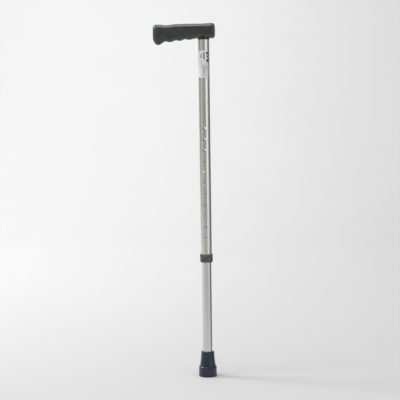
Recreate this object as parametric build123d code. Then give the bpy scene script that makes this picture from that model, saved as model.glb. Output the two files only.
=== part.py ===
"""Height-adjustable walking stick: two telescopic tubes, a moulded hand grip, a locking collar,
a snap button and a rubber ferrule.

Millimetres. Z is up and the floor is Z = 0. The shaft stands on the Z axis, the grip points
along -X, and the snap button faces -Y.
"""

from build123d import *
import os

# Shaft: 1 in outer tube, 7/8 in inner tube, holes one inch apart
INCH = 25.4
TUBE_WALL = 1.3
UPPER_RADIUS = INCH / 2
LOWER_RADIUS = 7 / 8 * INCH / 2
UPPER_BORE = UPPER_RADIUS - TUBE_WALL
LOWER_BORE = LOWER_RADIUS - TUBE_WALL
UPPER_BOTTOM = 278.0
UPPER_TOP = 812.0
RUNNING_GAP = 0.1
CUTTER_OVERRUN = 1.0

HOLE_PITCH = INCH
HOLE_COUNT = 11
HOLE_RADIUS = 3.4
HOLE_EDGE = 0.25
LOWEST_HOLE = 327.3
SET_HOLE = 6
BUTTON_HEIGHT = LOWEST_HOLE + SET_HOLE * HOLE_PITCH
LOWER_TOP = BUTTON_HEIGHT + 1.5 * HOLE_PITCH

# Glide bush in the top of the inner tube
BUSH_PLUG_DEPTH = 12.0
BUSH_RIM = 3.0
BUSH_BORE = 7.5

# Rubber ferrule: radius and height of each stage from the floor up
FERRULE_BASE_RADIUS = 21.2
FERRULE_BASE_EDGE = 1.0
FERRULE_SKIRT = (20.8, 20.8)
FERRULE_LEDGE = (20.25, 22.4)
FERRULE_SHOULDER = (18.95, 24.1)
FERRULE_FLARE = (17.9, 28.5)
FERRULE_WAIST = (16.7, 37.0)
FERRULE_TOP_RADIUS = 15.3
FERRULE_HEIGHT = 59.2
FERRULE_FLOOR = 15.0
FERRULE_LIP = 2.2
TREAD_RADII = [6.5, 10.0, 13.5, 17.0]
TREAD_WIDTH = 1.3
TREAD_DEPTH = 1.4
WASHER_THICKNESS = 1.5
LOWER_BOTTOM = FERRULE_FLOOR + WASHER_THICKNESS

# Locking collar on the outer tube, and the split collet below the tube's mouth
COLLAR_BOTTOM = 270.0
COLLAR_TOP = 289.0
COLLAR_RADIUS = 14.7
COLLAR_CHAMFER = 0.7
COLLAR_LIP = 1.2
COLLAR_BORE = UPPER_RADIUS + RUNNING_GAP
COLLAR_MOUTH = LOWER_RADIUS + 0.4
COLLAR_RIBS = 36
RIB_GROOVE_RADIUS = 0.6
COLLET_BORE = LOWER_RADIUS + RUNNING_GAP
COLLET_RADIUS = UPPER_RADIUS - RUNNING_GAP
COLLET_NOSE_RADIUS = 12.0
COLLET_BOTTOM = COLLAR_BOTTOM + COLLAR_LIP + RUNNING_GAP
COLLET_CONE_TOP = UPPER_BOTTOM - 2.0
COLLET_SLIT = 1.2

# Snap button and its leaf spring
BUTTON_RADIUS = 3.2
BUTTON_PROUD = 3.2
BUTTON_FLANGE_RADIUS = 4.6
BUTTON_FLANGE_OUT = 8.5
BUTTON_FLANGE_THICKNESS = 1.0
LEAF_THICKNESS = 0.5
LEAF_WIDTH = 7.0
LEAF_DROP = 34.0
LEAF_BEND_RADIUS = 3.5
LEAF_REST = LOWER_BORE - 0.9

# Wrap-round label: where it starts and how far it goes round, in degrees
LABEL_BOTTOM = 697.0
LABEL_TOP = 759.0
LABEL_THICKNESS = 0.15
LABEL_START = 130.0
LABEL_SWEEP = 196.0

# Hand grip: points are (x, z) in the side view
GRIP_BOTTOM = 786.3
GRIP_TOP = 820.0
GRIP_HALF_WIDTH = 16.0
GRIP_BACK = 25.9
GRIP_BACK_TOP = 821.1
GRIP_FRONT = -116.6
GRIP_FRONT_TOP = 818.7
FRONT_SHOULDER = (-98.0, 818.6)
SADDLE = (-87.0, 817.2)
CROWN = (-60.0, 819.6)
BACK_TOP_CORNER = 7.0
BACK_BOTTOM_CORNER = 5.5
BACK_PLAN_RADIUS = 5.0
FRONT_CORNER = 8.0
FRONT_PLAN_RADIUS = 13.0
TOP_ROUNDING = 9.0
UNDERSIDE_ROUNDING = 4.0
UNDERSIDE_START = -8.0
UNDERSIDE_SLOPE = 0.108
LOBES = [-32.5, -54.0, -76.0]
VALLEYS = [-43.0, -63.0, -89.0]
HEEL_VALLEY = -20.0
HEEL_RISE = 0.7
VALLEY_RISE = 2.2
LOBE_DROP = 0.4
HOOK_TIP = (-104.0, 772.3)
HOOK_HEIGHT = 15.0

# Rigid core of the grip
CORE_SOCKET_RADIUS = 14.0
CORE_ROOF = 2.0
NECK_RADIUS = 13.6
NECK_BOTTOM = 784.0
NECK_TOP = GRIP_BOTTOM + 5.0
ARM_FRONT = -96.0
ARM_BOTTOM = 795.0
ARM_TOP = 810.0
ARM_HALF_WIDTH = 7.0
ARM_CORNER = 3.0
PIN_RADIUS = 2.0
PIN_HEIGHT = 801.0
PIN_RECESS = 0.4


def ring(outer, inner, bottom, top):
    """A plain tube on the Z axis."""
    height = top - bottom
    wall = Cylinder(outer, height) - Cylinder(inner, height)
    return Pos(0, 0, (bottom + top) / 2) * wall


def rod(radius, bottom, top):
    """A plain cylinder on the Z axis."""
    return Pos(0, 0, (bottom + top) / 2) * Cylinder(radius, top - bottom)


def cross_rod(radius, height, front, back):
    """A round bar or cutter that runs along Y between two depths, at one height."""
    length = back - front
    bar = Rot(90, 0, 0) * Cylinder(radius, length)
    return Pos(0, (front + back) / 2, height) * bar


def revolved(outline):
    """Turn a closed outline in the XZ plane about the Z axis."""
    return revolve(Plane.XZ * make_face(outline), Axis.Z)


def soften_hole_rims(tube, outside):
    """Break the sharp outer edge of every cross hole."""
    on_surface = tube.edges().filter_by(lambda edge: edge.length < 8 * HOLE_RADIUS)
    rims = on_surface.filter_by(lambda edge: abs((edge @ 0).X ** 2 + (edge @ 0).Y ** 2 - outside**2) < 0.01)
    return chamfer(rims, HOLE_EDGE)


def make_upper_tube():
    tube = ring(UPPER_RADIUS, UPPER_BORE, UPPER_BOTTOM, UPPER_TOP)
    reach = UPPER_RADIUS + CUTTER_OVERRUN
    for number in range(HOLE_COUNT):
        height = LOWEST_HOLE + number * HOLE_PITCH
        tube -= cross_rod(HOLE_RADIUS, height, -reach, reach)
    tube = soften_hole_rims(tube, UPPER_RADIUS)
    return tube - cross_rod(PIN_RADIUS, PIN_HEIGHT, -reach, reach)


def make_lower_tube():
    tube = ring(LOWER_RADIUS, LOWER_BORE, LOWER_BOTTOM, LOWER_TOP)
    return tube - cross_rod(HOLE_RADIUS, BUTTON_HEIGHT, -LOWER_RADIUS - CUTTER_OVERRUN, 0)


def make_tube_bush():
    """Plastic bush whose rim centres the inner tube in the outer one."""
    outline = Polyline(
        (BUSH_BORE, LOWER_TOP - BUSH_PLUG_DEPTH),
        (LOWER_BORE, LOWER_TOP - BUSH_PLUG_DEPTH),
        (LOWER_BORE, LOWER_TOP),
        (UPPER_BORE - RUNNING_GAP, LOWER_TOP),
        (UPPER_BORE - RUNNING_GAP, LOWER_TOP + BUSH_RIM),
        (BUSH_BORE, LOWER_TOP + BUSH_RIM),
        close=True,
    )
    return revolved(outline)


def make_ferrule():
    """Tapered rubber foot: wide skirt, sloping ledge, flared waist and a ringed tread."""
    base_edge = (FERRULE_BASE_RADIUS, FERRULE_BASE_EDGE)
    base_flat = (FERRULE_BASE_RADIUS - FERRULE_BASE_EDGE, 0)
    rim = (FERRULE_TOP_RADIUS, FERRULE_HEIGHT - FERRULE_LIP)
    mouth = (FERRULE_TOP_RADIUS - FERRULE_LIP, FERRULE_HEIGHT)
    outline = [
        Line((0, 0), base_flat),
        Line(base_flat, base_edge),
        Line(base_edge, FERRULE_SKIRT),
        TangentArc(FERRULE_SKIRT, FERRULE_LEDGE, tangent=(0, 1)),
        Line(FERRULE_LEDGE, FERRULE_SHOULDER),
        Spline(FERRULE_SHOULDER, FERRULE_FLARE, FERRULE_WAIST, rim, tangents=((-0.35, 1), (-0.06, 1))),
        TangentArc(rim, mouth, tangent=(0, 1)),
        Line(mouth, (0, FERRULE_HEIGHT)),
        Line((0, FERRULE_HEIGHT), (0, 0)),
    ]
    foot = revolved(outline) - rod(LOWER_RADIUS, FERRULE_FLOOR, FERRULE_HEIGHT)
    for radius in TREAD_RADII:
        foot -= ring(radius + TREAD_WIDTH / 2, radius - TREAD_WIDTH / 2, 0, TREAD_DEPTH)
    return foot


def make_ferrule_washer():
    return rod(LOWER_RADIUS, FERRULE_FLOOR, LOWER_BOTTOM)


def make_collet():
    """Split ring below the tube's mouth: its cone closes on the inner tube."""
    outline = Polyline(
        (COLLET_BORE, COLLET_BOTTOM),
        (COLLET_NOSE_RADIUS, COLLET_BOTTOM),
        (COLLET_RADIUS, COLLET_CONE_TOP),
        (COLLET_RADIUS, UPPER_BOTTOM),
        (COLLET_BORE, UPPER_BOTTOM),
        close=True,
    )
    height = UPPER_BOTTOM - COLLET_BOTTOM
    slit = Pos(COLLET_RADIUS, 0, COLLET_BOTTOM + height / 2) * Box(COLLET_RADIUS, COLLET_SLIT, height)
    return revolved(outline) - slit


def make_locking_collar():
    """Ribbed ring that runs on the outer tube and squeezes the collet with its inner cone."""
    outline = Polyline(
        (COLLAR_MOUTH, COLLAR_BOTTOM),
        (COLLAR_RADIUS - COLLAR_CHAMFER, COLLAR_BOTTOM),
        (COLLAR_RADIUS, COLLAR_BOTTOM + COLLAR_CHAMFER),
        (COLLAR_RADIUS, COLLAR_TOP - COLLAR_CHAMFER),
        (COLLAR_RADIUS - COLLAR_CHAMFER, COLLAR_TOP),
        (COLLAR_BORE, COLLAR_TOP),
        (COLLAR_BORE, COLLET_CONE_TOP),
        (COLLET_NOSE_RADIUS + 2 * RUNNING_GAP, COLLAR_BOTTOM + COLLAR_LIP),
        (COLLAR_MOUTH, COLLAR_BOTTOM + COLLAR_LIP),
        close=True,
    )
    collar = revolved(outline)
    groove = rod(RIB_GROOVE_RADIUS, COLLAR_BOTTOM + 2 * COLLAR_CHAMFER, COLLAR_TOP - 2 * COLLAR_CHAMFER)
    groove = Pos(COLLAR_RADIUS + RIB_GROOVE_RADIUS / 3, 0, 0) * groove
    for number in range(COLLAR_RIBS):
        collar -= Rot(0, 0, number * 360 / COLLAR_RIBS) * groove
    return collar


def make_snap_button():
    """Domed button with a flange that stops it against the inside of the lower tube."""
    tip = UPPER_RADIUS + BUTTON_PROUD
    flange_in = BUTTON_FLANGE_OUT - BUTTON_FLANGE_THICKNESS
    outline = [
        Line((0, flange_in), (BUTTON_FLANGE_RADIUS, flange_in)),
        Line((BUTTON_FLANGE_RADIUS, flange_in), (BUTTON_FLANGE_RADIUS, BUTTON_FLANGE_OUT)),
        Line((BUTTON_FLANGE_RADIUS, BUTTON_FLANGE_OUT), (BUTTON_RADIUS, BUTTON_FLANGE_OUT)),
        Line((BUTTON_RADIUS, BUTTON_FLANGE_OUT), (BUTTON_RADIUS, tip - BUTTON_RADIUS)),
        RadiusArc((BUTTON_RADIUS, tip - BUTTON_RADIUS), (0, tip), -BUTTON_RADIUS),
        Line((0, tip), (0, flange_in)),
    ]
    button = revolved(outline)
    return Pos(0, 0, BUTTON_HEIGHT) * Rot(90, 0, 0) * button


def make_button_spring():
    """Leaf bent to a hairpin: one leg behind the button, the other on the far wall."""
    front = LEAF_THICKNESS / 2 - (BUTTON_FLANGE_OUT - BUTTON_FLANGE_THICKNESS)
    bend = BUTTON_HEIGHT - LEAF_DROP
    pad_top = (front, BUTTON_HEIGHT + BUTTON_FLANGE_RADIUS)
    pad_bottom = (front, BUTTON_HEIGHT - BUTTON_FLANGE_RADIUS)
    path = [
        Line(pad_top, pad_bottom),
        Line(pad_bottom, (-LEAF_BEND_RADIUS, bend)),
        TangentArc((-LEAF_BEND_RADIUS, bend), (LEAF_BEND_RADIUS, bend), tangent=(0, -1)),
        Line((LEAF_BEND_RADIUS, bend), (LEAF_REST, BUTTON_HEIGHT)),
    ]
    strip = trace(Wire(path), LEAF_THICKNESS)
    return extrude(Plane.YZ * strip, LEAF_WIDTH / 2, both=True)


def make_label():
    sleeve = ring(UPPER_RADIUS + LABEL_THICKNESS, UPPER_RADIUS, LABEL_BOTTOM, LABEL_TOP)
    reach = 2 * UPPER_RADIUS
    slice_outline = [
        Line((0, 0), (reach, 0)),
        CenterArc((0, 0), reach, 0, LABEL_SWEEP),
        Line((0, 0), Vector(reach, 0).rotate(Axis.Z, LABEL_SWEEP)),
    ]
    sector = Pos(0, 0, LABEL_BOTTOM) * extrude(make_face(slice_outline), LABEL_TOP - LABEL_BOTTOM)
    return sleeve & (Rot(0, 0, LABEL_START) * sector)


def underside(x):
    """Height of the sloping line that the finger lobes hang from."""
    return GRIP_BOTTOM + UNDERSIDE_SLOPE * min(0, x - UNDERSIDE_START)


def grip_side_outline():
    """The grip seen from the side: saddle on top, three finger lobes and a hook below."""
    wave = [(HEEL_VALLEY, underside(HEEL_VALLEY) + HEEL_RISE)]
    for lobe, valley in zip(LOBES, VALLEYS):
        wave.append((lobe, underside(lobe) - LOBE_DROP))
        wave.append((valley, underside(valley) + VALLEY_RISE))
    hook_front = (GRIP_FRONT, HOOK_TIP[1] + HOOK_HEIGHT)
    front_bend = (GRIP_FRONT, GRIP_FRONT_TOP - FRONT_CORNER)
    top_front = (GRIP_FRONT + FRONT_CORNER, GRIP_FRONT_TOP)
    top_back = (GRIP_BACK - BACK_TOP_CORNER, GRIP_BACK_TOP)
    back_bend = (GRIP_BACK, GRIP_BACK_TOP - BACK_TOP_CORNER)
    back_foot = (GRIP_BACK, GRIP_BOTTOM + BACK_BOTTOM_CORNER)
    bottom_back = (GRIP_BACK - BACK_BOTTOM_CORNER, GRIP_BOTTOM)
    return [
        Line(bottom_back, (UNDERSIDE_START, GRIP_BOTTOM)),
        Spline((UNDERSIDE_START, GRIP_BOTTOM), *wave, HOOK_TIP, tangents=((-1, 0), (-1, 0))),
        Spline(HOOK_TIP, hook_front, tangents=((-1, 0), (0, 1))),
        Line(hook_front, front_bend),
        TangentArc(front_bend, top_front, tangent=(0, 1)),
        Spline(
            top_front,
            FRONT_SHOULDER,
            SADDLE,
            CROWN,
            (0, GRIP_TOP),
            top_back,
            tangents=((1, 0), (1, 0)),
        ),
        TangentArc(top_back, back_bend, tangent=(1, 0)),
        Line(back_bend, back_foot),
        TangentArc(back_foot, bottom_back, tangent=(0, -1)),
    ]


def grip_block():
    """Tall block that the side shape is cut from: round in front, with rounded top edges."""
    length = GRIP_BACK - GRIP_FRONT
    middle = (GRIP_BACK + GRIP_FRONT) / 2
    block = Pos(middle, 0, GRIP_BACK_TOP - length / 2) * Box(length, 2 * GRIP_HALF_WIDTH, length)
    uprights = block.edges().filter_by(Axis.Z)
    block = fillet(uprights.filter_by(lambda edge: edge.center().X < middle), FRONT_PLAN_RADIUS)
    uprights = block.edges().filter_by(Axis.Z)
    block = fillet(uprights.filter_by(lambda edge: edge.center().X > middle), BACK_PLAN_RADIUS)
    section = RectangleRounded(2 * GRIP_HALF_WIDTH, length, TOP_ROUNDING)
    bar = Pos(middle, 0, GRIP_BACK_TOP - length / 2) * extrude(Plane.YZ * section, length, both=True)
    return block & bar


def core_solid():
    """Arm, socket and neck of the rigid core before it is drilled."""
    arm_length = -ARM_FRONT
    arm = Pos(ARM_FRONT / 2, 0, (ARM_BOTTOM + ARM_TOP) / 2)
    arm *= Box(arm_length, 2 * ARM_HALF_WIDTH, ARM_TOP - ARM_BOTTOM)
    arm = fillet(arm.edges().filter_by(Axis.X), ARM_CORNER)
    socket = rod(CORE_SOCKET_RADIUS, NECK_TOP, UPPER_TOP + CORE_ROOF)
    return arm + socket + rod(NECK_RADIUS, NECK_BOTTOM, NECK_TOP)


def make_handle_core():
    tube_space = rod(UPPER_RADIUS, NECK_BOTTOM, UPPER_TOP)
    reach = CORE_SOCKET_RADIUS + CUTTER_OVERRUN
    return core_solid() - tube_space - cross_rod(PIN_RADIUS, PIN_HEIGHT, -reach, reach)


def make_handle_grip():
    side = extrude(Plane.XZ * make_face(grip_side_outline()), GRIP_HALF_WIDTH, both=True)
    on_side_faces = GRIP_HALF_WIDTH - RUNNING_GAP
    rim = side.edges().filter_by(lambda edge: abs(edge.center().Y) > on_side_faces)
    return (fillet(rim, UNDERSIDE_ROUNDING) & grip_block()) - core_solid()


def make_core_pin():
    """Pin through the core and the tube, a little short of the socket's outside."""
    reach = CORE_SOCKET_RADIUS - PIN_RECESS
    return cross_rod(PIN_RADIUS, PIN_HEIGHT, -reach, reach)


NODES = {
    "handle_grip": make_handle_grip,
    "handle_core": make_handle_core,
    "core_pin": make_core_pin,
    "upper_tube": make_upper_tube,
    "shaft_label": make_label,
    "collar_collet": make_collet,
    "locking_collar": make_locking_collar,
    "lower_tube": make_lower_tube,
    "tube_bush": make_tube_bush,
    "snap_button": make_snap_button,
    "button_spring": make_button_spring,
    "ferrule": make_ferrule,
    "ferrule_washer": make_ferrule_washer,
}

os.makedirs("parts", exist_ok=True)
for name, make in NODES.items():
    export_step(make(), f"parts/{name}.step")
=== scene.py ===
"""Looks of the height-adjustable walking stick: the moulded grip as a fine mesh, procedural
materials on every piece, the studio and the camera. Metres, in the frame of the CAD model.
"""

import math

import bpy
from mathutils import Euler, Matrix, Vector


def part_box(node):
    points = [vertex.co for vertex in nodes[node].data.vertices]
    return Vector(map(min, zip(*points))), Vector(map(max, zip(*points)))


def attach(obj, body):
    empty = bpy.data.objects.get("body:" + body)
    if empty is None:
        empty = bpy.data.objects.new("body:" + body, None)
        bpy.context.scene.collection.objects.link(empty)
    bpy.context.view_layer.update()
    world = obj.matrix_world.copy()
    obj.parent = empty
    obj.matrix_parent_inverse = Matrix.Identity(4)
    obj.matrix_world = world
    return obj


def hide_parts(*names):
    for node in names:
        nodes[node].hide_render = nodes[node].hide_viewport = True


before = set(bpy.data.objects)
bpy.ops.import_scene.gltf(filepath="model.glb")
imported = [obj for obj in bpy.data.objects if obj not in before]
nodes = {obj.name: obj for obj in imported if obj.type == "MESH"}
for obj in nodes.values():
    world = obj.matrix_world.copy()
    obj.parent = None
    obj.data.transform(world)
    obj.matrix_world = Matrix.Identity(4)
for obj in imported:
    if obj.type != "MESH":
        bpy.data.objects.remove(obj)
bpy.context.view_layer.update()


# ---------------------------------------------------------------- places taken from the frame

grip_low, grip_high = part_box("handle_grip")
tube_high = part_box("upper_tube")[1]
label_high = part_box("shaft_label")[1]
inner_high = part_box("lower_tube")[1]
neck_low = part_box("handle_core")[0]

tube_radius = tube_high.x
mm = 0.001


# ---------------------------------------------------------------- small helpers


def smooth_step(value):
    value = max(0.0, min(1.0, value))
    return value * value * (3 - 2 * value)


def mesh_object(name, vertices, faces):
    mesh = bpy.data.meshes.new(name)
    mesh.from_pydata(vertices, [], faces)
    mesh.update()
    piece = bpy.data.objects.new(name, mesh)
    bpy.context.scene.collection.objects.link(piece)
    return piece


def shade_smooth(piece):
    for face in piece.data.polygons:
        face.use_smooth = True


# ---------------------------------------------------------------- material helpers


class Recipe:
    """A node material under construction: the shader and the links that feed it."""

    def __init__(self, name):
        self.material = bpy.data.materials.new(name)
        self.material.use_nodes = True
        self.tree = self.material.node_tree
        self.shader = self.tree.nodes["Principled BSDF"]
        self.place = self.tree.nodes.new("ShaderNodeTexCoord").outputs["Object"]

    def new(self, kind, **settings):
        node = self.tree.nodes.new(kind)
        for key, value in settings.items():
            setattr(node, key, value)
        return node

    def link(self, source, target):
        self.tree.links.new(source, target)

    def scaled(self, scale):
        """The place of a point, stretched along each axis."""
        mapping = self.new("ShaderNodeMapping")
        mapping.inputs["Scale"].default_value = scale
        self.link(self.place, mapping.inputs["Vector"])
        return mapping.outputs["Vector"]

    def noise(self, scale, detail=3.0, rough=0.55, vector=None):
        node = self.new("ShaderNodeTexNoise")
        node.inputs["Scale"].default_value = scale
        node.inputs["Detail"].default_value = detail
        node.inputs["Roughness"].default_value = rough
        self.link(vector or self.place, node.inputs["Vector"])
        return node.outputs["Fac"]

    def cells(self, scale, vector=None, feature="F1", smoothness=0.0):
        node = self.new("ShaderNodeTexVoronoi", feature=feature)
        node.inputs["Scale"].default_value = scale
        if feature == "SMOOTH_F1":
            node.inputs["Smoothness"].default_value = smoothness
        self.link(vector or self.place, node.inputs["Vector"])
        return node.outputs["Distance"]

    def ramp(self, source, low, high, to_low=0.0, to_high=1.0):
        """Map a range of values to another, clamped."""
        node = self.new("ShaderNodeMapRange")
        node.inputs["From Min"].default_value = low
        node.inputs["From Max"].default_value = high
        node.inputs["To Min"].default_value = to_low
        node.inputs["To Max"].default_value = to_high
        self.link(source, node.inputs["Value"])
        return node.outputs["Result"]

    def math(self, operation, first, second=None):
        node = self.new("ShaderNodeMath", operation=operation)
        for socket, value in zip(node.inputs, (first, second)):
            if value is None:
                continue
            if isinstance(value, (int, float)):
                socket.default_value = value
            else:
                self.link(value, socket)
        return node.outputs["Value"]

    def blend(self, factor, first, second):
        """Colour between two colours or colour sockets."""
        node = self.new("ShaderNodeMix", data_type="RGBA")
        self.link(factor, node.inputs["Factor"])
        for socket, value in ((node.inputs["A"], first), (node.inputs["B"], second)):
            if isinstance(value, tuple):
                socket.default_value = (*value, 1.0)
            else:
                self.link(value, socket)
        return node.outputs["Result"]

    def separate(self):
        node = self.new("ShaderNodeSeparateXYZ")
        self.link(self.place, node.inputs["Vector"])
        return node.outputs

    def inside_radius(self, radius):
        """One within a radius of the shaft's axis, zero outside it."""
        axes = self.separate()
        across = self.math("MULTIPLY", axes["X"], axes["X"])
        along = self.math("MULTIPLY", axes["Y"], axes["Y"])
        return self.math("LESS_THAN", self.math("ADD", across, along), radius * radius)

    def bump(self, height, distance, strength=1.0, normal=None):
        node = self.new("ShaderNodeBump")
        node.inputs["Distance"].default_value = distance
        node.inputs["Strength"].default_value = strength
        self.link(height, node.inputs["Height"])
        if normal is not None:
            self.link(normal, node.inputs["Normal"])
        return node.outputs["Normal"]

    def colour(self, source):
        self.link(source, self.shader.inputs["Base Color"])

    def roughness(self, source):
        self.link(source, self.shader.inputs["Roughness"])

    def normal(self, source):
        self.link(source, self.shader.inputs["Normal"])

    def set(self, socket, value):
        self.shader.inputs[socket].default_value = value


def dress(node_name, material):
    """Give a CAD node its finished material."""
    slots = nodes[node_name].data.materials
    slots.clear()
    slots.append(material)


# ---------------------------------------------------------------- materials

# depth from the tube's outside at which its dark bore begins: a dull oily inner wall, darkened
# further with painted shade
SKIN = 0.3 * mm

# moulding seam along the middle of the grip, and the band on its top that the palm polishes
SEAM_HALF_WIDTH = 0.15 * mm
SEAM_EDGE = 0.45 * mm
SEAM_HEIGHT = 0.12 * mm
PALM_BAND = 9.0 * mm
PALM_FADE = 1.0 * mm
PALM_POLISH = 0.1

# height of the surface grain of each material
PEBBLE_HEIGHT = 0.12 * mm
FLECK_HEIGHT = 0.05 * mm
NYLON_GRAIN_HEIGHT = 0.04 * mm
DRAWN_LINE_HEIGHT = 0.02 * mm
PAPER_GRAIN_HEIGHT = 0.02 * mm
COLLAR_GRAIN_HEIGHT = 0.06 * mm
RUBBER_GRAIN_HEIGHT = 0.08 * mm
TURNED_LINE_HEIGHT = 0.01 * mm

# how far red, green and blue light travel in nylon
NYLON_GLOW = (2.0 * mm, 1.8 * mm, 1.4 * mm)

# floor dust on the foot of the ferrule
DUST_HEIGHT = 16.0 * mm
DUST_COVER = 0.25

# darkest and lightest tone of each material
OUTER_DARK = (0.67, 0.66, 0.62)
OUTER_LIGHT = (0.73, 0.72, 0.68)
INNER_DARK = (0.66, 0.655, 0.62)
INNER_LIGHT = (0.72, 0.715, 0.68)
SCRATCH_METAL = (0.42, 0.41, 0.39)
# near-black bore: a dull oily inner wall, darkened further with painted shade for the little light
# inside the tube
BORE_OIL_AND_PAINTED_SHADE = (0.035, 0.034, 0.03)
CORE_DARK = (0.012, 0.012, 0.012)
CORE_LIGHT = (0.024, 0.024, 0.023)
GRIP_DARK = (0.014, 0.023, 0.015)
GRIP_LIGHT = (0.034, 0.047, 0.034)
COLLAR_DARK = (0.020, 0.022, 0.018)
COLLAR_LIGHT = (0.165, 0.168, 0.145)
RUBBER_DARK = (0.004, 0.010, 0.028)
RUBBER_LIGHT = (0.011, 0.021, 0.050)
DUST_GREY = (0.07, 0.07, 0.075)
STEEL_DARK = (0.62, 0.62, 0.63)
STEEL_LIGHT = (0.74, 0.74, 0.74)
NYLON_DARK = (0.62, 0.60, 0.53)
NYLON_LIGHT = (0.72, 0.70, 0.64)
LABEL_PAPER = (0.84, 0.85, 0.86)
LABEL_SHADE = (0.79, 0.79, 0.82)
LABEL_WARM_PATCH = (0.72, 0.72, 0.66)
INK_BLACK = (0.03, 0.03, 0.04)
INK_GREY = (0.22, 0.22, 0.25)
INK_PALE = (0.36, 0.36, 0.40)
INK_SMUDGE = (0.50, 0.50, 0.50)

# left, right, top and bottom of each printed block, in mm round the tube and down the label
LABEL_MARKS = [
    # first block: a flat warm grey patch over the lower right of the label, a little darker than the
    # paper
    (0.8, 11.0, 29.0, 61.0, LABEL_WARM_PATCH),
    (-7.0, -3.2, 8.5, 11.5, INK_GREY),
    (-7.0, -3.2, 13.0, 16.5, INK_GREY),
    (0.0, 3.4, 4.0, 20.0, INK_GREY),
    (7.0, 13.5, 3.0, 9.0, INK_BLACK),
    (8.5, 13.5, 11.0, 17.0, INK_BLACK),
    (7.0, 12.5, 19.5, 26.5, INK_BLACK),
    (-5.4, -4.4, 24.0, 41.0, INK_PALE),
    (-1.4, 0.8, 32.0, 57.0, INK_SMUDGE),
    (0.8, 2.2, 38.0, 50.0, INK_PALE),
    (3.6, 4.6, 34.0, 46.0, INK_SMUDGE),
    (7.6, 9.8, 35.0, 42.0, INK_PALE),
]


def grip_material():
    """Moulded soft PVC: fine pebble grain, satin, a little polished where the palm rests."""
    look = Recipe("grip_pvc")
    look.set("Specular IOR Level", 0.7)
    look.set("Sheen Weight", 0.2)
    look.set("Sheen Roughness", 0.4)
    grain = look.cells(900.0, feature="SMOOTH_F1", smoothness=0.6)
    patches = look.noise(55.0, 4.0)
    flecks = look.noise(1400.0, 2.0)
    look.colour(look.blend(look.ramp(patches, 0.35, 0.65), GRIP_DARK, GRIP_LIGHT))
    height = look.separate()["Z"]
    palm = look.ramp(height, grip_high.z - PALM_BAND, grip_high.z - PALM_FADE)
    worn = look.math("MULTIPLY", palm, look.ramp(look.noise(38.0, 3.0), 0.4, 0.62))
    base = look.ramp(patches, 0.3, 0.7, 0.29, 0.37)
    look.roughness(look.math("SUBTRACT", base, look.math("MULTIPLY", worn, PALM_POLISH)))
    from_middle = look.math("ABSOLUTE", look.separate()["Y"])
    seam = look.ramp(from_middle, SEAM_HALF_WIDTH, SEAM_EDGE, 1.0, 0.0)
    coarse = look.bump(grain, PEBBLE_HEIGHT, 0.55)
    fine = look.bump(flecks, FLECK_HEIGHT, 0.4, coarse)
    look.normal(look.bump(seam, SEAM_HEIGHT, 0.8, fine))
    return look.material


def core_material():
    """Rigid black nylon, seen as the ring under the grip."""
    look = Recipe("core_nylon")
    speck = look.noise(700.0, 2.0)
    look.colour(look.blend(speck, CORE_DARK, CORE_LIGHT))
    look.roughness(look.ramp(speck, 0.3, 0.7, 0.38, 0.5))
    look.normal(look.bump(speck, NYLON_GRAIN_HEIGHT, 0.4))
    return look.material


def tube_material(name, outside, dark, light, roughness, scratches):
    """Satin anodised drawn tube: lines along its length, faint cloudiness, small scratches."""
    look = Recipe(name)
    look.set("Metallic", 1.0)
    lines = look.noise(1.0, 3.0, 0.6, look.scaled((1600.0, 1600.0, 9.0)))
    clouds = look.noise(28.0, 3.0, 0.5, look.scaled((1.0, 1.0, 0.25)))
    marks = look.noise(1.0, 2.0, 0.5, look.scaled((420.0, 420.0, 26.0)))
    fine = look.ramp(marks, 0.66, 0.74)
    tone = look.blend(look.ramp(clouds, 0.3, 0.7), dark, light)
    worn = look.blend(look.math("MULTIPLY", fine, scratches), tone, SCRATCH_METAL)
    # below the skin the colour turns to the near-black bore: painted shade inside the tube over a
    # dull oily wall
    look.colour(look.blend(look.inside_radius(outside - SKIN), worn, BORE_OIL_AND_PAINTED_SHADE))
    sheen = look.ramp(lines, 0.3, 0.7, roughness - 0.03, roughness + 0.04)
    look.roughness(look.math("ADD", sheen, look.math("MULTIPLY", fine, 0.12)))
    look.normal(look.bump(lines, DRAWN_LINE_HEIGHT, 0.25))
    return look.material


def label_material():
    """Coated paper label with grey printed bars and blocks that say nothing."""
    look = Recipe("label_print")
    axes = look.separate()
    turn = look.math("ARCTAN2", axes["X"], look.math("MULTIPLY", axes["Y"], -1.0))
    around = look.math("MULTIPLY", turn, tube_radius / mm)
    down = look.math("MULTIPLY", look.math("SUBTRACT", label_high.z, axes["Z"]), 1 / mm)

    def inside(value, low, high):
        above = look.math("GREATER_THAN", value, low)
        return look.math("MULTIPLY", above, look.math("LESS_THAN", value, high))

    def block(left, right, top, bottom):
        return look.math("MULTIPLY", inside(around, left, right), inside(down, top, bottom))

    paper_grain = look.noise(900.0, 3.0)
    tone = look.blend(look.ramp(look.noise(70.0, 2.0), 0.3, 0.7), LABEL_PAPER, LABEL_SHADE)
    for left, right, top, bottom, ink in LABEL_MARKS:
        tone = look.blend(block(left, right, top, bottom), tone, ink)
    look.colour(tone)
    look.set("Coat Weight", 1.0)
    look.set("Coat Roughness", 0.15)
    look.roughness(look.ramp(paper_grain, 0.3, 0.7, 0.42, 0.52))
    look.normal(look.bump(paper_grain, PAPER_GRAIN_HEIGHT, 0.3))
    return look.material


def collar_material():
    """Moulded dark plastic with scuffed ribs."""
    look = Recipe("collar_plastic")
    look.set("Sheen Weight", 0.3)
    look.set("Sheen Roughness", 0.4)
    mottle = look.noise(260.0, 3.0)
    grain = look.noise(1500.0, 2.0)
    look.colour(look.blend(look.ramp(mottle, 0.35, 0.65), COLLAR_DARK, COLLAR_LIGHT))
    look.roughness(look.ramp(mottle, 0.3, 0.7, 0.42, 0.6))
    look.normal(look.bump(grain, COLLAR_GRAIN_HEIGHT, 0.5))
    return look.material


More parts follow.
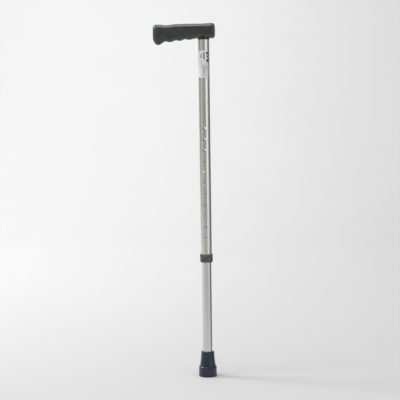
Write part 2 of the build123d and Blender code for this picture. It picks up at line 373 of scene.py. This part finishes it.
def ferrule_material():
    """Dark blue-grey rubber with a dull bloom and dust near the floor."""
    look = Recipe("ferrule_rubber")
    look.set("Sheen Weight", 0.35)
    look.set("Sheen Roughness", 0.4)
    bloom = look.noise(85.0, 5.0, 0.6)
    grain = look.noise(1100.0, 3.0)
    height = look.separate()["Z"]
    low = look.ramp(height, 0.0, DUST_HEIGHT, 1.0, 0.0)
    dust = look.math("MULTIPLY", low, look.ramp(look.noise(150.0, 4.0), 0.42, 0.7))
    tone = look.blend(look.ramp(bloom, 0.35, 0.65), RUBBER_DARK, RUBBER_LIGHT)
    look.colour(look.blend(look.math("MULTIPLY", dust, DUST_COVER), tone, DUST_GREY))
    clean = look.ramp(bloom, 0.3, 0.7, 0.26, 0.34)
    look.roughness(look.math("ADD", clean, look.math("MULTIPLY", dust, 0.2)))
    look.normal(look.bump(grain, RUBBER_GRAIN_HEIGHT, 0.45))
    return look.material


def steel_material(name, roughness):
    """Bright steel with fine turned lines."""
    look = Recipe(name)
    look.set("Metallic", 1.0)
    lines = look.noise(1.0, 2.0, 0.5, look.scaled((500.0, 500.0, 3000.0)))
    look.colour(look.blend(look.ramp(lines, 0.3, 0.7), STEEL_DARK, STEEL_LIGHT))
    look.roughness(look.ramp(lines, 0.3, 0.7, roughness - 0.03, roughness + 0.05))
    look.normal(look.bump(lines, TURNED_LINE_HEIGHT, 0.25))
    return look.material


def nylon_material():
    """Natural nylon: off-white and slightly waxy."""
    look = Recipe("natural_nylon")
    look.set("Subsurface Weight", 0.1)
    look.set("Subsurface Radius", NYLON_GLOW)
    haze = look.noise(120.0, 3.0)
    look.colour(look.blend(look.ramp(haze, 0.3, 0.7), NYLON_DARK, NYLON_LIGHT))
    look.roughness(look.ramp(haze, 0.3, 0.7, 0.35, 0.48))
    look.normal(look.bump(haze, NYLON_GRAIN_HEIGHT, 0.3))
    return look.material


# ---------------------------------------------------------------- hand grip

GRIP_STATIONS = 170
END_CROWDING = 0.6
CORNER_STEPS = 8
FLAT_STEPS = 5
CAP_RINGS = 6
NECK_SHOWS = 2.3 * mm
TOP_BACK_CORNER = 7.0 * mm
BOTTOM_BACK_CORNER = 5.5 * mm
FRONT_CORNER = 8.0 * mm
FRONT_PLAN = 13.0 * mm
BACK_PLAN = 5.0 * mm
TOP_ROUNDING = 9.0 * mm
FINGER_ROUNDING = 9.0 * mm
HEEL_ROUNDING = 14.0 * mm
HEEL_START = -38.0 * mm
HEEL_BLEND = 30.0 * mm
SIDE_CROWN = 0.4 * mm
UNDERSIDE_START = -8.0 * mm
UNDERSIDE_SLOPE = 0.108
LOBES = (-32.5 * mm, -54.0 * mm, -76.0 * mm)
VALLEYS = (-43.0 * mm, -63.0 * mm, -89.0 * mm)
HEEL_VALLEY = -20.0 * mm
HEEL_RISE = 0.7 * mm
VALLEY_RISE = 2.2 * mm
LOBE_DROP = 0.4 * mm
HOOK_LENGTH = 12.6 * mm
HOOK_HEIGHT = 15.0 * mm

grip_front = grip_low.x
grip_back = grip_high.x
grip_top_line = grip_high.z
grip_floor = neck_low.z + NECK_SHOWS
hook_tip = grip_front + HOOK_LENGTH

# how far the top of the grip lies below its highest point, from front to back: x and drop in mm
TOP_DROPS = [(-108.6, 2.4), (-98.0, 2.5), (-87.0, 3.9), (-60.0, 1.5), (0.0, 1.1), (18.9, 0.0)]
top_points = [(x * mm, grip_top_line - drop * mm) for x, drop in TOP_DROPS]


def underside_line(x):
    return grip_floor + UNDERSIDE_SLOPE * min(0.0, x - UNDERSIDE_START)


def underside_points():
    """Hook tip, valleys and lobes, and the start of the level heel, from front to back."""
    points = [(UNDERSIDE_START, grip_floor), (HEEL_VALLEY, underside_line(HEEL_VALLEY) + HEEL_RISE)]
    for lobe, valley in zip(LOBES, VALLEYS):
        points.append((lobe, underside_line(lobe) - LOBE_DROP))
        points.append((valley, underside_line(valley) + VALLEY_RISE))
    points.append((hook_tip, grip_low.z))
    return points[::-1]


bottom_points = underside_points()


def curve_through(points, x):
    """Height at x of a smooth curve through points in order of x, level at both ends."""
    if x <= points[0][0]:
        return points[0][1]
    slopes = [0.0]
    for before, after in zip(points, points[2:]):
        slopes.append((after[1] - before[1]) / (after[0] - before[0]))
    slopes.append(0.0)
    for (start, end), (leave, arrive) in zip(zip(points, points[1:]), zip(slopes, slopes[1:])):
        if x <= end[0]:
            span = end[0] - start[0]
            t = (x - start[0]) / span
            lift = smooth_step(t)
            ease_in = t * (1 - t) * (1 - t) * span * leave
            ease_out = t * t * (1 - t) * span * arrive
            return start[1] + (end[1] - start[1]) * lift + ease_in - ease_out
    return points[-1][1]


def corner(distance, radius):
    """How far a rounded corner falls back at a distance in from the end."""
    if distance >= radius:
        return 0.0
    gap = radius - distance
    return radius - math.sqrt(max(0.0, radius * radius - gap * gap))


def grip_top(x):
    height = curve_through(top_points, x)
    height -= corner(x - grip_front, FRONT_CORNER)
    return height - corner(grip_back - x, TOP_BACK_CORNER)


def grip_bottom(x):
    height = curve_through(bottom_points, x)
    height += corner(x - grip_front, HOOK_LENGTH) * HOOK_HEIGHT / HOOK_LENGTH
    return height + corner(grip_back - x, BOTTOM_BACK_CORNER)


def grip_width(x):
    width = grip_high.y - corner(x - grip_front, FRONT_PLAN)
    return width - corner(grip_back - x, BACK_PLAN)


def grip_section(x):
    """Rounded-box section at one station: flat crowned sides, rounder below near the shaft."""
    top, bottom, width = grip_top(x), grip_bottom(x), grip_width(x)
    half = (top - bottom) / 2
    heel = smooth_step((x - HEEL_START) / HEEL_BLEND)
    lower = FINGER_ROUNDING + (HEEL_ROUNDING - FINGER_ROUNDING) * heel
    crown = SIDE_CROWN * width / grip_high.y
    width -= crown
    upper = min(TOP_ROUNDING, width, half)
    lower = min(lower, width, half)
    centres = [
        (width - upper, top - upper, upper),
        (upper - width, top - upper, upper),
        (lower - width, bottom + lower, lower),
        (width - lower, bottom + lower, lower),
    ]
    points = []
    for number, (y, z, radius) in enumerate(centres):
        for step in range(CORNER_STEPS + 1):
            angle = math.pi / 2 * (number + step / CORNER_STEPS)
            points.append((y + radius * math.cos(angle), z + radius * math.sin(angle)))
        y_next, z_next, radius_next = centres[(number + 1) % 4]
        angle = math.pi / 2 * (number + 1)
        goal = (y_next + radius_next * math.cos(angle), z_next + radius_next * math.sin(angle))
        start = points[-1]
        for step in range(1, FLAT_STEPS + 1):
            t = step / (FLAT_STEPS + 1)
            points.append((start[0] + (goal[0] - start[0]) * t, start[1] + (goal[1] - start[1]) * t))
    middle = (top + bottom) / 2
    section = []
    for y, z in points:
        bulge = crown * (1 - ((z - middle) / half) ** 2)
        section.append(Vector((x, y * (1 + bulge / width), z)))
    return section


def grip_stations():
    """Places along the grip, crowded at both rounded ends."""
    stations = []
    for number in range(GRIP_STATIONS + 1):
        t = number / GRIP_STATIONS
        eased = 0.5 - 0.5 * math.cos(math.pi * t)
        part = END_CROWDING * eased + (1 - END_CROWDING) * t
        stations.append(grip_front + (grip_back - grip_front) * part)
    return stations


def join_rings(faces, first, second):
    for number in range(len(first)):
        following = (number + 1) % len(first)
        faces.append((first[number], first[following], second[following], second[number]))


def cap_end(vertices, faces, ring, outward):
    """Close an end with rings that shrink to its middle."""
    outline = [vertices[number] for number in ring]
    middle = sum(outline, Vector()) / len(outline)
    cap = []
    last = ring
    for step in range(1, CAP_RINGS):
        scale = 1 - step / CAP_RINGS
        fresh = list(range(len(vertices), len(vertices) + len(ring)))
        vertices.extend(middle + (point - middle) * scale for point in outline)
        join_rings(cap, last, fresh)
        last = fresh
    vertices.append(middle)
    for number in range(len(last)):
        cap.append((last[number], last[(number + 1) % len(last)], len(vertices) - 1))
    faces.extend(face if outward else face[::-1] for face in cap)


def make_grip():
    vertices = []
    faces = []
    rings = []
    for x in grip_stations():
        section = grip_section(x)
        rings.append(list(range(len(vertices), len(vertices) + len(section))))
        vertices.extend(section)
    for first, second in zip(rings, rings[1:]):
        join_rings(faces, first, second)
    cap_end(vertices, faces, rings[0][::-1], True)
    cap_end(vertices, faces, rings[-1], True)
    piece = mesh_object("grip_shell", vertices, faces)
    shade_smooth(piece)
    return piece


# ---------------------------------------------------------------- studio and camera

CAMERA_AZIMUTH = math.radians(6.0)
CAMERA_DISTANCE = 3.4
CAMERA_HEIGHT = 0.810
CAMERA_PITCH = math.radians(6.63)
CAMERA_ROLL = math.radians(0.78)
CAMERA_SWING = math.radians(0.222)
FOCAL_LENGTH = 133.2
SENSOR_WIDTH = 36.0

FLOOR_WIDTH = 12.0
FLOOR_FRONT = -2.0
BACKDROP_DISTANCE = 2.2
BACKDROP_RADIUS = 2.4
BACKDROP_HEIGHT = 4.0
BACKDROP_STEPS = 32
PAPER_DARK = (0.69, 0.69, 0.69)
PAPER_LIGHT = (0.71, 0.71, 0.71)
STUDIO_LEVEL = 0.34
WHITE = (1.0, 1.0, 1.0)

# where the lights stand and point
STICK_MIDDLE = (0.0, 0.0, 0.45)
GRIP_AREA = (0.0, 0.1, 0.8)
WALL_SPOT = (-2.17, 4.6, 1.11)
OVERHEAD_PLACE = (-0.29, -0.39, 2.8)
WALL_WASH_PLACE = (-1.2, 1.46, 3.09)

# the flag: azimuths of its edges round the stick in degrees, its distance and its height
FLAG_NEAR = 102.0
FLAG_NEAR_FOOT = 92.0
FLAG_FAR = 152.0
FLAG_DISTANCE = 0.3
FLAG_HEIGHT = 1.0
FLAG_DARK = (0.16, 0.16, 0.16)
FLAG_LIGHT = (0.19, 0.19, 0.19)


def make_camera():
    """Level with the grip, a little to the back-end side, looking slightly down."""
    data = bpy.data.cameras.new("camera")
    data.sensor_width = SENSOR_WIDTH
    data.lens = FOCAL_LENGTH
    camera = bpy.data.objects.new("camera", data)
    bpy.context.scene.collection.objects.link(camera)
    side = math.sin(CAMERA_AZIMUTH) * CAMERA_DISTANCE
    back = -math.cos(CAMERA_AZIMUTH) * CAMERA_DISTANCE
    aim = Euler((math.pi / 2 - CAMERA_PITCH, 0, CAMERA_AZIMUTH + CAMERA_SWING)).to_matrix()
    turn = aim @ Matrix.Rotation(-CAMERA_ROLL, 3, "Z")
    camera.matrix_world = Matrix.Translation((side, back, CAMERA_HEIGHT)) @ turn.to_4x4()
    bpy.context.scene.camera = camera


def backdrop_material():
    look = Recipe("backdrop_paper")
    look.set("Roughness", 0.9)
    look.set("Specular IOR Level", 0.1)
    look.colour(look.blend(look.noise(3.0, 2.0), PAPER_DARK, PAPER_LIGHT))
    return look.material


def make_backdrop():
    """Pale paper that runs along the floor and curves up behind the object."""
    profile = [(FLOOR_FRONT, 0.0), (BACKDROP_DISTANCE, 0.0)]
    for number in range(1, BACKDROP_STEPS + 1):
        angle = math.pi / 2 * number / BACKDROP_STEPS
        y = BACKDROP_DISTANCE + BACKDROP_RADIUS * math.sin(angle)
        profile.append((y, BACKDROP_RADIUS * (1 - math.cos(angle))))
    profile.append((BACKDROP_DISTANCE + BACKDROP_RADIUS, BACKDROP_HEIGHT))
    vertices = []
    faces = []
    for y, z in profile:
        vertices.append((-FLOOR_WIDTH / 2, y, z))
        vertices.append((FLOOR_WIDTH / 2, y, z))
    for number in range(len(profile) - 1):
        first = 2 * number
        faces.append((first, first + 1, first + 3, first + 2))
    paper = mesh_object("backdrop", vertices, faces)
    shade_smooth(paper)
    paper.data.materials.append(backdrop_material())


def area_light(name, place, target, size, power):
    """Rectangular soft light that points at a target; sizes in metres, power in watts."""
    data = bpy.data.lights.new(name, "AREA")
    data.shape = "RECTANGLE"
    data.size, data.size_y = size
    data.energy = power
    data.color = WHITE
    light = bpy.data.objects.new(name, data)
    bpy.context.scene.collection.objects.link(light)
    light.location = place
    direction = Vector(target) - Vector(place)
    light.rotation_euler = direction.to_track_quat("-Z", "Y").to_euler()
    light.visible_camera = False


def around_stick(azimuth, distance, height):
    """A place round the stick: azimuth 0 is the front, and positive is to its right."""
    angle = math.radians(azimuth)
    return (math.sin(angle) * distance, -math.cos(angle) * distance, height)


def make_lights():
    area_light("key_left", around_stick(-101, 2.6, 2.15), STICK_MIDDLE, (0.9, 0.9), 38.0)
    area_light("fill_left", around_stick(-52, 3.6, 1.0), STICK_MIDDLE, (3.6, 2.4), 5.8)
    area_light("front_left", around_stick(-66, 2.4, 2.1), STICK_MIDDLE, (0.8, 0.8), 8.0)
    area_light("strip_right", around_stick(56, 2.2, 0.9), STICK_MIDDLE, (1.6, 2.0), 9.2)
    area_light("overhead", OVERHEAD_PLACE, GRIP_AREA, (1.4, 1.8), 34.0)
    area_light("wall_wash", WALL_WASH_PLACE, WALL_SPOT, (2.5, 0.8), 92.0)
    world = bpy.data.worlds.new("studio")
    world.use_nodes = True
    sky = world.node_tree.nodes["Background"]
    sky.inputs["Color"].default_value = (*WHITE, 1.0)
    sky.inputs["Strength"].default_value = STUDIO_LEVEL
    bpy.context.scene.world = world


def make_flag():
    """Dark panel beside the stick that gives the bright metal its dark right edge."""
    near_foot = Vector(around_stick(FLAG_NEAR_FOOT, FLAG_DISTANCE, 0.0))
    near = Vector(around_stick(FLAG_NEAR, FLAG_DISTANCE, 0.0))
    far = Vector(around_stick(FLAG_FAR, FLAG_DISTANCE, 0.0))
    rise = Vector((0.0, 0.0, FLAG_HEIGHT))
    panel = mesh_object("flag", [near_foot, far, far + rise, near + rise], [(0, 1, 2, 3)])
    look = Recipe("flag_cloth")
    look.set("Roughness", 0.9)
    look.colour(look.blend(look.noise(40.0, 2.0), FLAG_DARK, FLAG_LIGHT))
    panel.data.materials.append(look.material)
    panel.visible_camera = False
    panel.visible_diffuse = False
    panel.visible_shadow = False


# ---------------------------------------------------------------- assembly


def dress_frame():
    dress("handle_core", core_material())
    outer = tube_material(
        "outer_tube_metal", tube_radius, OUTER_DARK, OUTER_LIGHT, roughness=0.27, scratches=0.5
    )
    inner = tube_material(
        "inner_tube_metal", inner_high.x, INNER_DARK, INNER_LIGHT, roughness=0.24, scratches=0.8
    )
    dress("upper_tube", outer)
    dress("lower_tube", inner)
    dress("shaft_label", label_material())
    dress("locking_collar", collar_material())
    dress("ferrule", ferrule_material())
    dress("snap_button", steel_material("button_steel", roughness=0.34))
    steel = steel_material("spring_steel", roughness=0.25)
    for name in ("core_pin", "button_spring", "ferrule_washer"):
        dress(name, steel)
    nylon = nylon_material()
    for name in ("collar_collet", "tube_bush"):
        dress(name, nylon)


bpy.context.scene.view_settings.view_transform = "Standard"
make_camera()
make_backdrop()
make_lights()
make_flag()
dress_frame()

grip = make_grip()
grip.data.materials.append(grip_material())
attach(grip, "upper")
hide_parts("handle_grip")
